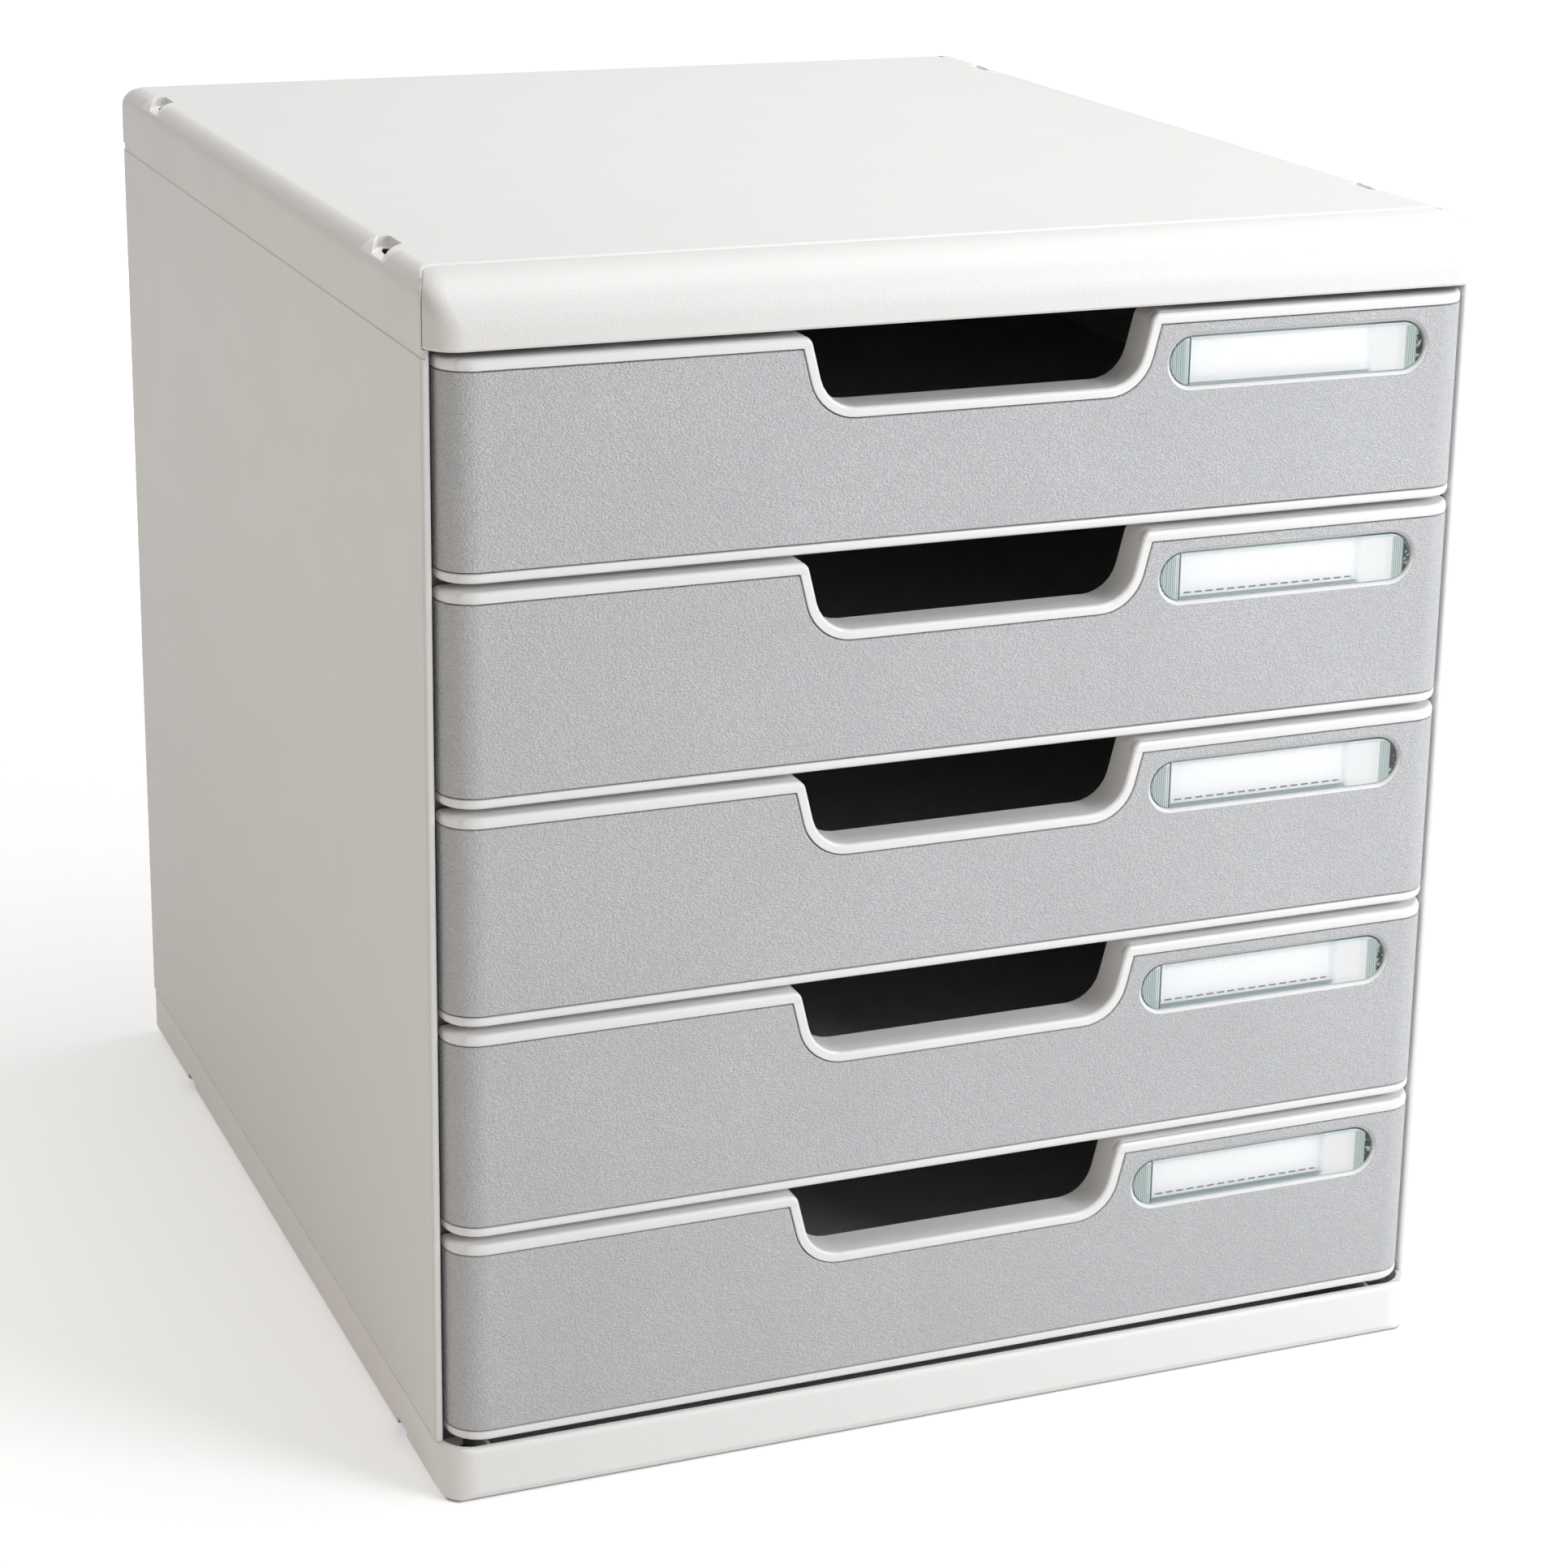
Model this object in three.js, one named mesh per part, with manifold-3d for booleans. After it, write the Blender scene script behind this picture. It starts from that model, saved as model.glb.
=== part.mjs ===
// A five-drawer desktop file module for A4 papers, in moulded plastic.
// Millimetres. +X is to the right, the drawers face -Y, +Z is up, and the origin is
// under the middle of the base.
import * as THREE from 'three';
import { mergeVertices } from 'three/addons/utils/BufferGeometryUtils.js';
import Module from 'manifold-3d';

const wasm = await Module();
wasm.setup();

// Whole module
const width = 288;
const depth = 339;
const height = 320;
const drawerCount = 5;
const fit = 0.3; // between pieces that are put together
const cornerRadius = 10; // the base's two front corners, seen from above
const tailRadius = 3; // the two rear corners, seen from above
const overrun = 2; // how far a cut runs past what it cuts
const weld = 0.0001; // corners closer than this are one

// Top cover
const coverHeight = 17.6;
const coverWall = 2.2;
const coverEdgeRadius = 6; // along both sides and the back
const noseReach = 16.4; // rounded front, measured back from the front face
const noseDrop = 13; // rounded front, measured down from the top
const noseFootRadius = 9; // of its corners at the foot, seen from above
const noseTopRadius = 4; // of its corners at the top, where they are sharpest
const noseEdge = 0.7; // bevel along its lower edge
const noseRings = 9; // rounds of facets from its foot to the top
const noseSink = 0.15; // how far the front lies below the plate behind it
const grooveSink = 0.45; // and the groove between them
const stepLine = 19.4; // the groove's rear edge, where it crosses the top
const sideLine = 6.1; // and where it comes down each side
const stepInset = 4.1; // its corners at the top, in from the sides
const stepRadius = 2.5;
const topGrooveWidth = 2.6;
const sideGrooveWidth = 0.5;
const coverRibWall = 1.4;
const coverRibLift = 0.6; // from the ribs up to the skirt's lower edge, inside
const coverRibShares = [0.36, 0.66, 0.77]; // of the half width

// Clip sockets: four in the cover's side edges, and four under the base's
const socketLength = 20.6;
const socketWidth = 7.9;
const socketFloor = 1.6; // and the walls round a socket
const socketShares = [ // across from the side face, and along from the front end
  [1, 0.966], [0.63, 1], [0.44, 0.835], [-0.19, 0.277], [-0.19, 0], [1, 0.417],
];
const socketHoleShares = [
  [0.95, 0.9], [0.76, 0.93], [0.56, 0.72], [0.48, 0.42], [0.55, 0.3], [0.95, 0.46],
];
const coverSocketDepth = 2.8;
const coverSocketFront = 50.4; // middle of the front pair, from the front
const coverSocketBack = 39.6; // middle of the rear pair, from the back
const baseSocketDepth = 4.3;
const baseSocketFront = 44.3;
const baseSocketBack = 49.5;

// Base
const baseHeight = 15.4;
const baseWall = 2.2;
const baseFloor = 2.2;
const baseInset = 0.4; // the base's and the panels' outer face, in from the cover's
const baseTopRadius = 1.8; // upper edge of its front
const footBevelHeight = 2.8;
const footBevelDepth = 2;
const baseTailRadius = 7; // lower edge of its back
const baseRibWall = 1.4;
const baseRibHeight = 11.8;
const baseRibShare = 0.905; // of the half width

// Side and back panels
const panelWall = 2;
const grooveHeight = 2.5; // shadow groove below the cover
const grooveDepth = 0.3;
const panelSetback = 7.5; // the panels' front edges, behind the cover's front face
const panelEdgeRadius = 0.8; // a panel's upright edges
const beadWidth = 1.1; // from a panel's front edge to the fine upright seam beside it
const seamWidth = 0.4;
const seamDepth = 0.3;
const tongueWall = 1.8; // the tongues that stand inside the cover and the base
const tongueReach = 5.6; // past the joint line
const tongueRoot = 6; // before the joint line

// Drawer fronts
const frontGap = 1.7; // above and below each front
const frontSetback = 0.8; // behind the cover's front face
const frontSide = 3.1; // a front's ends, in from the panels' outer faces
const frontDepth = 11;
const frontRadius = 9.4;
const frontWall = 1.8; // the wall behind the hollow front
const rimBelow = 2.7; // white rim under the fascia
const rimAbove = 3.15; // white rim over the fascia
const rimRound = 1.3;
const returnWall = 1.6; // the tray's side returns, behind the fascia's

// Finger cut-out, measured on the fascia
const cutShare = 0.35; // its half width at the fascia's upper edge, of the front's
const cutDepth = 18.4;
const cutRadius = 13;
const cutLean = 14 * Math.PI / 180; // of its sides, from upright
const cutRim = 3; // white rim round it
const cutTopRadius = 3.2; // where its rim turns into the upper rim
const cutEdgeRadius = 0.9; // of the rim's inner edge

// Fascia
const fasciaWall = 2.2;
const fasciaRibWall = 1.4; // ribs that stand in the hollow front and back the fascia
const fasciaRibShares = [-0.84, -0.6, 0.28]; // of the front's half width

// Label holder
const windowShare = 0.266; // its width, of the front's
const windowMiddleShare = 0.635; // right of the drawer's middle, of the front's half width
const windowHeight = 13.2;
const windowBelow = 3.7; // under the fascia's upper edge
const windowSunk = 0.6; // behind the fascia's face
const windowEdgeRadius = 1; // of the fascia round it
const windowFlange = 2.4; // how far its rear plate reaches past the window
const windowPlate = 1.2;
const reedCount = 4; // upright ribs at each end of the window
const reedPitch = 1.25;
const reedDepth = 0.5;
const reedBand = 5.65; // from the card's ends to the window's
const cardHeight = 14.6;
const cardThickness = 0.5;

// Drawer trays
const trayWall = 1.8;
const trayFloor = 2;
const trayLift = 3.5; // underside of the floor, above the front's lower edge
const trayHeight = 46.5; // from there to the top of the walls
const trayBackGap = 11.2; // from its rear wall to the module's rear face
const trayRadius = 6;
const trayLip = 2; // round the top of the walls, outside
const trayLipHeight = 2;
const flangeLift = 9.6; // underside of the running flanges, above the front's lower edge
const flangeThickness = 1.8;
const flangeWidth = 5.9; // past the tray's walls
const flangeClear = 1.3; // from its edge to the side panel
const flangeStart = 8; // behind the hollow front
const lugProud = 1; // stop lug, past the flange's edge
const lugLength = 8;
const lugFromBack = 48; // its rear face, before the tray's rear face

// Runners on the side panels
const runnerWidth = 5.2;
const runnerThickness = 1.8;
const guideWidth = 3.4; // the upper rail, which keeps a pulled drawer level
const guideThickness = 1.4;
const guideClear = 0.5;
const runnerStart = 15.5; // behind the panel's front edge
const runnerTail = 9; // before the back panel
const leadProud = 0.8; // the runner's lead, beside the drawer front
const leadSetback = 3; // behind the panel's front edge
const nibProud = 0.9; // front stop, in from the panel
const nibLength = 3;
const stopReach = 6.6; // closing stops behind the fronts' ends, in from the panels
const stopThickness = 1.8;
const stopBelow = 6.2; // below each front's lower edge

const front = -depth / 2;
const back = depth / 2;
const coverLow = height - coverHeight;
const panelHalf = width / 2 - baseInset;
const panelInner = panelHalf - panelWall;
const panelNear = front + panelSetback;
const panelLow = baseHeight + fit;
const panelHigh = coverLow - fit;
const grooveLow = coverLow - grooveHeight;
const drawerFace = front + frontSetback;
const frontPitch = (coverLow - baseHeight - frontGap) / drawerCount;
const frontHeight = frontPitch - frontGap;
const frontHalfWidth = panelHalf - frontSide;
const cutHalfWidth = cutShare * frontHalfWidth;
const windowWidth = windowShare * 2 * frontHalfWidth;
const windowMiddle = windowMiddleShare * frontHalfWidth;
const cardWidth = windowWidth - 2 * reedBand;
const flangeHalf = panelInner - flangeClear;
const trayHalfWidth = flangeHalf - flangeWidth;

const finishes = {
  casing: { color: '#e6e4df', roughness: 0.55, metalness: 0 },
  rim: { color: '#f2f1ed', roughness: 0.45, metalness: 0 },
  fascia: { color: '#b2b3b6', roughness: 0.6, metalness: 0 },
  window: { color: '#cfe0dc', roughness: 0.1, metalness: 0, transparent: true, opacity: 0.4 },
  card: { color: '#f7f8f9', roughness: 0.8, metalness: 0 },
};

// A closed geometry as a solid.
function solid(geometry) {
  geometry.deleteAttribute('normal');
  geometry.deleteAttribute('uv');
  const merged = mergeVertices(geometry, weld);
  return new wasm.Manifold(new wasm.Mesh({
    numProp: 3,
    vertProperties: merged.attributes.position.array,
    triVerts: new Uint32Array(merged.index.array),
  }));
}

// A block between two corners, given as a pair of limits along each axis.
function block([left, right], [near, far], [low, high]) {
  const box = new THREE.BoxGeometry(right - left, far - near, high - low);
  return solid(box.translate((left + right) / 2, (near + far) / 2, (low + high) / 2));
}

// A closed outline from its corners, each [u, v] or [u, v, radius].
function outline(corners) {
  const shape = new THREE.Shape();
  corners.forEach(([u, v, radius = 0], i) => {
    const here = new THREE.Vector2(u, v);
    const start = i === 0 ? 'moveTo' : 'lineTo';
    if (radius <= 0) {
      shape[start](u, v);
      return;
    }
    const [beforeU, beforeV] = corners.at(i - 1);
    const [afterU, afterV] = corners[(i + 1) % corners.length];
    const before = new THREE.Vector2(beforeU, beforeV).sub(here).normalize();
    const after = new THREE.Vector2(afterU, afterV).sub(here).normalize();
    const half = Math.acos(before.dot(after)) / 2;
    const reach = radius / Math.tan(half);
    const middle = before.clone().add(after).setLength(radius / Math.sin(half)).add(here);
    const from = before.multiplyScalar(reach).add(here).sub(middle);
    const to = after.multiplyScalar(reach).add(here).sub(middle);
    shape[start](from.x + middle.x, from.y + middle.y);
    shape.absarc(middle.x, middle.y, radius, from.angle(), to.angle(), from.cross(to) < 0);
  });
  return shape;
}

// Prisms of an outline. Each quarter turn of an outline gets 2 * steps facets.
function extruded(shape, length, steps) {
  return new THREE.ExtrudeGeometry(shape, { depth: length, curveSegments: steps, bevelEnabled: false });
}

// Upright, from an outline in x and y.
function upright(shape, low, high, steps = 3) {
  return solid(extruded(shape, high - low, steps).translate(0, 0, low));
}

// From side to side, from an outline in y and z.
function crosswise(shape, left, right, steps = 3) {
  const turn = new THREE.Matrix4().makeBasis(
    new THREE.Vector3(0, 1, 0), new THREE.Vector3(0, 0, 1), new THREE.Vector3(1, 0, 0),
  );
  return solid(extruded(shape, right - left, steps).applyMatrix4(turn).translate(left, 0, 0));
}

// From front to back, from an outline in x and z.
function lengthwise(shape, near, far, steps = 3) {
  return solid(extruded(shape, far - near, steps).rotateX(Math.PI / 2).translate(0, far, 0));
}

// A cut from the front face back to far, with the front face's edge round it rounded.
function roundedCut(shape, near, far, radius, steps = 3) {
  const cut = new THREE.ExtrudeGeometry(shape, {
    depth: far - near - 2 * radius,
    curveSegments: steps,
    bevelThickness: radius,
    bevelSize: -radius,
    bevelOffset: radius,
    bevelSegments: 2,
  });
  return solid(cut.rotateX(Math.PI / 2).translate(0, far - radius, 0));
}

function joined(pieces) {
  return pieces.reduce((whole, piece) => whole.add(piece));
}

function mirrored(piece) {
  return piece.mirror([1, 0, 0]);
}

// An outline of the casing from above, with a radius at its front and rear corners.
function casingPlan(half, near, far, nearRadius, farRadius) {
  return outline([
    [-half, far, farRadius], [-half, near, nearRadius], [half, near, nearRadius], [half, far, farRadius],
  ]);
}

// A closed solid through a stack of convex outlines, each with its own height.
function lofted(levels) {
  const rings = levels.map(({ plan, z }) => plan.getPoints(5).slice(1).map(({ x, y }) => [x, y, z]));
  const count = rings[0].length;
  const faces = [];
  for (let k = 1; k + 1 < count; k += 1) {
    const last = (rings.length - 1) * count;
    faces.push(0, k + 1, k, last, last + k, last + k + 1);
  }
  for (let i = 0; i + 1 < rings.length; i += 1) {
    for (let k = 0; k < count; k += 1) {
      const [a, b] = [i * count + k, i * count + (k + 1) % count];
      faces.push(a, b, b + count, a, b + count, a + count);
    }
  }
  const geometry = new THREE.BufferGeometry();
  geometry.setAttribute('position', new THREE.Float32BufferAttribute(rings.flat(2), 3));
  geometry.setIndex(faces);
  return solid(geometry);
}

// How far an elliptic edge has come in at a share of its rise.
function drawnIn(reach, riseShare) {
  return reach * (1 - Math.sqrt(1 - Math.min(Math.max(riseShare, 0), 1) ** 2));
}

// The cover's rounded form: rounded outlines that draw in towards the top. Its lower
// edge may be bevelled.
function coverForm(inset, nearInset, low, bevel = 0) {
  const high = height - inset;
  const reach = noseReach - nearInset;
  const drop = noseDrop - inset;
  const edge = coverEdgeRadius - inset;
  const levelAt = (z, turn, drawn) => {
    const side = inset + drawn + drawnIn(edge, (z - high) / edge + 1);
    const half = width / 2 - side;
    const near = front + nearInset + drawn + drawnIn(reach, Math.sin(turn));
    const far = back - side;
    const radius = noseFootRadius + (noseTopRadius - noseFootRadius) * Math.sin(turn) - inset - drawn;
    return { z, plan: casingPlan(half, near, far, radius, tailRadius - inset - drawn) };
  };
  const levels = [levelAt(low, 0, bevel)];
  if (bevel > 0) {
    levels.push(levelAt(low + bevel, 0, 0));
  }
  for (let k = 0; k <= noseRings; k += 1) {
    const turn = k / noseRings * Math.PI / 2;
    levels.push(levelAt(high - drop * (1 - Math.sin(turn)), turn, 0));
  }
  return lofted(levels);
}

// The front part of the cover, seen from above, up to a line across the top that
// comes down both sides.
function noseRegion(topLine, downLine) {
  const half = width / 2;
  const cornerX = half - stepInset;
  const shape = outline([
    [-half - overrun, front - overrun], [half + overrun, front - overrun],
    [half + overrun, front + downLine], [half, front + downLine],
    [cornerX, front + topLine, stepRadius], [-cornerX, front + topLine, stepRadius],
    [-half, front + downLine], [-half - overrun, front + downLine],
  ]);
  return upright(shape, coverLow - overrun, height + overrun);
}

// Four upright cuts along the side edges, each an outline in shares of a socket.
function socketCuts(shares, [low, high], sideFace, [fromFront, fromBack]) {
  const cuts = [front + fromFront, back - fromBack].map((middle) => {
    const corners = shares.map(([across, along]) => [
      across * socketWidth - sideFace,
      middle + (along - 1 / 2) * socketLength,
    ]);
    return upright(outline(corners), low, high);
  });
  return joined(cuts.flatMap((cut) => [cut, mirrored(cut)]));
}

// The blocks that carry the sockets, where the wall alone is too thin.
function socketBlocks([low, high], sideFace, [fromFront, fromBack]) {
  const halfLength = socketLength / 2 + socketFloor;
  const across = [-sideFace, socketWidth + socketFloor - sideFace];
  const blocks = [front + fromFront, back - fromBack].map((middle) => (
    block(across, [middle - halfLength, middle + halfLength], [low, high])
  ));
  return joined(blocks.flatMap((piece) => [piece, mirrored(piece)]));
}

function topCover() {
  const region = noseRegion(stepLine, sideLine);
  const groove = region
    .subtract(noseRegion(stepLine - topGrooveWidth, sideLine - sideGrooveWidth))
    .subtract(coverForm(grooveSink, 0, coverLow - overrun));
  const skin = coverForm(0, 0, coverLow)
    .subtract(region.subtract(coverForm(noseSink, 0, coverLow, noseEdge)))
    .subtract(groove);
  const hollow = coverForm(coverWall, coverWall, coverLow - overrun);
  const ribTail = back - coverWall - tongueWall - fit - overrun;
  const ribs = coverRibShares.flatMap((share) => [-share, share]).map((share) => {
    const middle = share * width / 2;
    const sides = [middle - coverRibWall / 2, middle + coverRibWall / 2];
    return block(sides, [front, ribTail], [coverLow + coverRibLift, height]);
  });
  const sockets = [coverSocketFront, coverSocketBack];
  const socketLow = height - coverSocketDepth;
  const inner = joined(ribs)
    .add(socketBlocks([socketLow - socketFloor, height], width / 2, sockets))
    .intersect(coverForm(coverWall / 2, coverWall / 2, coverLow));
  return skin.subtract(hollow).add(inner)
    .subtract(socketCuts(socketShares, [socketLow, height + overrun], width / 2, sockets))
    .subtract(socketCuts(socketHoleShares, [coverLow, height], width / 2, sockets));
}

// The base's form: its plan, its side profile and its end profile.
function baseForm(inset, low, high) {
  const half = panelHalf - inset;
  const near = front + baseInset + inset;
  const far = back - baseInset - inset;
  const plan = casingPlan(half, near, far, cornerRadius - inset, tailRadius - inset);
  const side = outline([
    [near + footBevelDepth, low], [near, low + footBevelHeight],
    [near, high, Math.max(baseTopRadius - inset, 0)], [far, high], [far, low, baseTailRadius - inset],
  ]);
  const end = outline([
    [footBevelDepth - half, low], [-half, low + footBevelHeight], [-half, high],
    [half, high], [half, low + footBevelHeight], [half - footBevelDepth, low],
  ]);
  return upright(plan, low, high, 4)
    .intersect(crosswise(side, -half, half, 3))
    .intersect(lengthwise(end, near, far));
}

function basePlinth() {
  const ribMiddle = baseRibShare * width / 2;
  const ribTail = back - baseWall - tongueWall - fit - overrun;
  const rib = block(
    [ribMiddle - baseRibWall / 2, ribMiddle + baseRibWall / 2],
    [front, ribTail],
    [baseFloor / 2, baseFloor + baseRibHeight],
  );
  const sockets = [baseSocketFront, baseSocketBack];
  const socketHigh = baseSocketDepth + socketFloor;
  const inner = joined([rib, mirrored(rib), socketBlocks([baseFloor / 2, socketHigh], panelHalf, sockets)])
    .intersect(baseForm(baseWall / 2, 0, baseHeight));
  return baseForm(0, 0, baseHeight)
    .subtract(baseForm(baseWall, baseFloor, baseHeight + overrun))
    .add(inner)
    .subtract(socketCuts(socketShares, [-overrun, baseSocketDepth], panelHalf, sockets))
    .subtract(socketCuts(socketHoleShares, [0, baseHeight], panelHalf, sockets));
}

// Heights of drawer number n, where 1 is the highest.
function levelsOf(n) {
  const low = baseHeight + frontGap + (drawerCount - n) * frontPitch;
  const flangeLow = low + flangeLift;
  return {
    low,
    high: low + frontHeight,
    fasciaLow: low + rimBelow,
    fasciaHigh: low + frontHeight - rimAbove,
    floor: low + trayLift,
    wallHigh: low + trayLift + trayHeight,
    flangeLow,
    flangeHigh: flangeLow + flangeThickness,
  };
}

// The tongues of a panel: upright strips that stand inside the cover and the base.
function tongueSpans() {
  const lower = [panelLow - tongueReach, panelLow + tongueRoot];
  const upper = [panelHigh - tongueRoot, panelHigh + tongueReach];
  return [lower, upper];
}

function sidePanelRight() {
  const near = panelNear;
  const far = back - baseInset;
  const skin = (half) => outline([
    [panelInner, near, panelEdgeRadius], [half, near, panelEdgeRadius],
    [half, far, panelEdgeRadius], [panelInner, far],
  ]);
  const faces = upright(skin(panelHalf), panelLow, grooveLow, 2)
    .add(upright(skin(panelHalf - grooveDepth), grooveLow - overrun, panelHigh, 2));
  const seamNear = near + beadWidth;
  const seam = block(
    [panelHalf - seamDepth, panelHalf + overrun],
    [seamNear, seamNear + seamWidth],
    [panelLow - overrun, panelHigh + overrun],
  );
  const pieces = [faces.subtract(seam)];
  const rootX = panelInner + panelWall / 2;
  const tongueOuter = width / 2 - baseInset - baseWall - fit;
  const tongueNear = drawerFace + frontDepth + fit;
  const tongueFar = back - coverWall - tongueWall - fit - fit;
  for (const [low, high] of tongueSpans()) {
    const rootLow = Math.max(low, panelLow);
    const rootHigh = Math.min(high, panelHigh);
    const along = [tongueNear, tongueFar];
    pieces.push(
      block([tongueOuter - tongueWall, tongueOuter], along, [low, high]),
      block([tongueOuter - tongueWall, rootX], along, [rootLow, rootHigh]),
    );
  }
  const stopFar = tongueNear + stopThickness;
  const stopInner = panelInner - stopReach;
  const stop = (low, high) => joined([
    block([stopInner, tongueOuter], [tongueNear, stopFar], [low, high]),
    block([stopInner, rootX], [tongueNear, stopFar], [Math.max(low, panelLow), high]),
  ]);
  pieces.push(stop(coverLow - stopBelow, panelHigh));
  const runnerNear = near + runnerStart;
  const running = [runnerNear, tongueFar - runnerTail];
  for (let n = 1; n <= drawerCount; n += 1) {
    const { low, flangeLow, flangeHigh } = levelsOf(n);
    const rail = [flangeLow - fit - runnerThickness, flangeLow - fit];
    const guideLow = flangeHigh + guideClear;
    const guide = [guideLow, guideLow + guideThickness];
    pieces.push(
      stop(low - stopBelow, rail[0]),
      block([panelInner - leadProud, rootX], [near + leadSetback, runnerNear], rail),
      block([panelInner - runnerWidth, rootX], running, rail),
      block([panelInner - guideWidth, rootX], running, guide),
      block([panelInner - nibProud, rootX], [runnerNear, runnerNear + nibLength], [rail[0], guide[1]]),
    );
  }
  return joined(pieces);
}

function backPanel() {
  const outer = back - baseInset;
  const half = panelInner - fit;
  const tongueHalf = width / 2 - coverWall - tongueWall - fit - fit - baseInset;
  const tongueOuter = back - baseInset - baseWall - fit;
  const pieces = [block([-half, half], [outer - panelWall, outer], [panelLow, panelHigh])];
  for (const [low, high] of tongueSpans()) {
    const rootLow = Math.max(low, panelLow);
    const rootHigh = Math.min(high, panelHigh);
    const across = [-tongueHalf, tongueHalf];
    pieces.push(
      block(across, [tongueOuter - tongueWall, tongueOuter], [low, high]),
      block(across, [tongueOuter - tongueWall, outer - panelWall / 2], [rootLow, rootHigh]),
    );
  }
  return joined(pieces);
}

// A drawer front's outline from above, drawn in by inset, running back to far.
function frontPlan(inset, far) {
  const half = frontHalfWidth - inset;
  const near = drawerFace + inset;
  const radius = frontRadius - inset;
  return outline([[-half, far], [-half, near, radius], [half, near, radius], [half, far]]);
}

// The finger cut-out's outline from the front, drawn in by inset. Above its upper edge
// it either runs on up, or turns outward along the top of the front with a radius.
function cutOutline(levels, inset, turnRadius) {
  const lean = Math.tan(cutLean);
  const low = levels.fasciaHigh - cutDepth + inset;
  const shift = inset / Math.cos(cutLean);
  const halfAt = (z) => cutHalfWidth - shift + (z - levels.fasciaHigh) * lean;
  const top = levels.high;
  const wide = halfAt(top) + 2 * cutTopRadius;
  const high = top + overrun;
  const right = turnRadius > 0
    ? [[halfAt(top), top, turnRadius], [wide, top], [wide, high]]
    : [[halfAt(high), high]];
  const corners = [[halfAt(low), low, cutRadius - inset], ...right];
  const left = corners.map(([x, ...rest]) => [-x, ...rest]).reverse();
  return outline([...corners, ...left]);
}

function drawerTray(n) {
  const levels = levelsOf(n);
  const { low, high, fasciaLow, fasciaHigh, floor, wallHigh, flangeLow, flangeHigh } = levels;
  const rear = drawerFace + frontDepth;
  const rounded = new THREE.ExtrudeGeometry(frontPlan(0, rear), {
    depth: frontHeight - 2 * rimRound,
    curveSegments: 3,
    bevelThickness: rimRound,
    bevelSize: rimRound,
    bevelOffset: -rimRound,
    bevelSegments: 2,
  });
  const frontBlock = solid(rounded.translate(0, 0, low + rimRound));
  const inside = fasciaWall + fit;
  const openings = cutOutline(levels, fit, 0);
  const across = [-frontHalfWidth - overrun, frontHalfWidth + overrun];
  const rimKeep = lengthwise(openings, drawerFace - overrun, rear + overrun, 4);
  const seat = block(across, [drawerFace - overrun, rear + overrun], [fasciaLow, fasciaHigh])
    .subtract(upright(frontPlan(inside, rear + 2 * overrun), fasciaLow - overrun, fasciaHigh + overrun));
  const half = frontHalfWidth - inside - returnWall;
  const channel = block([-half, half], [drawerFace, rear - frontWall], [fasciaLow, fasciaHigh]);
  const ribs = joined(fasciaRibShares.map((share) => {
    const middle = share * frontHalfWidth;
    const sides = [middle - fasciaRibWall / 2, middle + fasciaRibWall / 2];
    const heights = [low + rimBelow / 2, high - rimAbove / 2];
    return block(sides, [drawerFace + inside, rear - frontWall / 2], heights);
  }));
  const hollowFront = frontBlock
    .subtract(seat.subtract(rimKeep))
    .subtract(channel.subtract(ribs).subtract(rimKeep));

  const trayFar = back - trayBackGap;
  const boxPlan = (inset, near) => outline([
    [inset - trayHalfWidth, near], [trayHalfWidth - inset, near],
    [trayHalfWidth - inset, trayFar - inset, trayRadius - inset],
    [inset - trayHalfWidth, trayFar - inset, trayRadius - inset],
  ]);
  const shell = upright(boxPlan(0, rear - frontWall), floor, wallHigh, 2)
    .add(upright(boxPlan(-trayLip, rear - frontWall), wallHigh - trayLipHeight, wallHigh, 2))
    .subtract(upright(boxPlan(trayWall, rear), floor + trayFloor, wallHigh + overrun, 2));
  const thick = [flangeLow, flangeHigh];
  const along = [rear + flangeStart, trayFar - trayRadius];
  const lugFar = trayFar - lugFromBack;
  const flange = block([trayHalfWidth - trayWall / 2, flangeHalf], along, thick);
  const lug = block([flangeHalf - lugProud, flangeHalf + lugProud], [lugFar - lugLength, lugFar], thick);
  const hanger = flange.add(lug);
  const cut = cutOutline(levels, cutRim, cutTopRadius);
  return joined([hollowFront, shell, hanger, mirrored(hanger)])
    .subtract(roundedCut(cut, drawerFace, rear + overrun, cutEdgeRadius));
}

// The label window's outline, grown by a margin, in x and z.
function windowOutline(levels, grow) {
  const high = levels.fasciaHigh - windowBelow + grow;
  const low = high - windowHeight - 2 * grow;
  const left = windowMiddle - windowWidth / 2 - grow;
  const right = windowMiddle + windowWidth / 2 + grow;
  const radius = (high - low) / 2 - weld;
  return outline([[left, low, radius], [right, low, radius], [right, high, radius], [left, high, radius]]);
}

function drawerFascia(n) {
  const levels = levelsOf(n);
  const rear = drawerFace + frontDepth;
  const low = levels.fasciaLow + fit;
  const high = levels.fasciaHigh - fit;
  return upright(frontPlan(0, rear), low, high)
    .subtract(upright(frontPlan(fasciaWall, rear + overrun), low - overrun, high + overrun))
    .subtract(lengthwise(cutOutline(levels, 0, 0), drawerFace - overrun, rear, 4))
    .subtract(roundedCut(windowOutline(levels, 0), drawerFace, rear, windowEdgeRadius));
}

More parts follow.
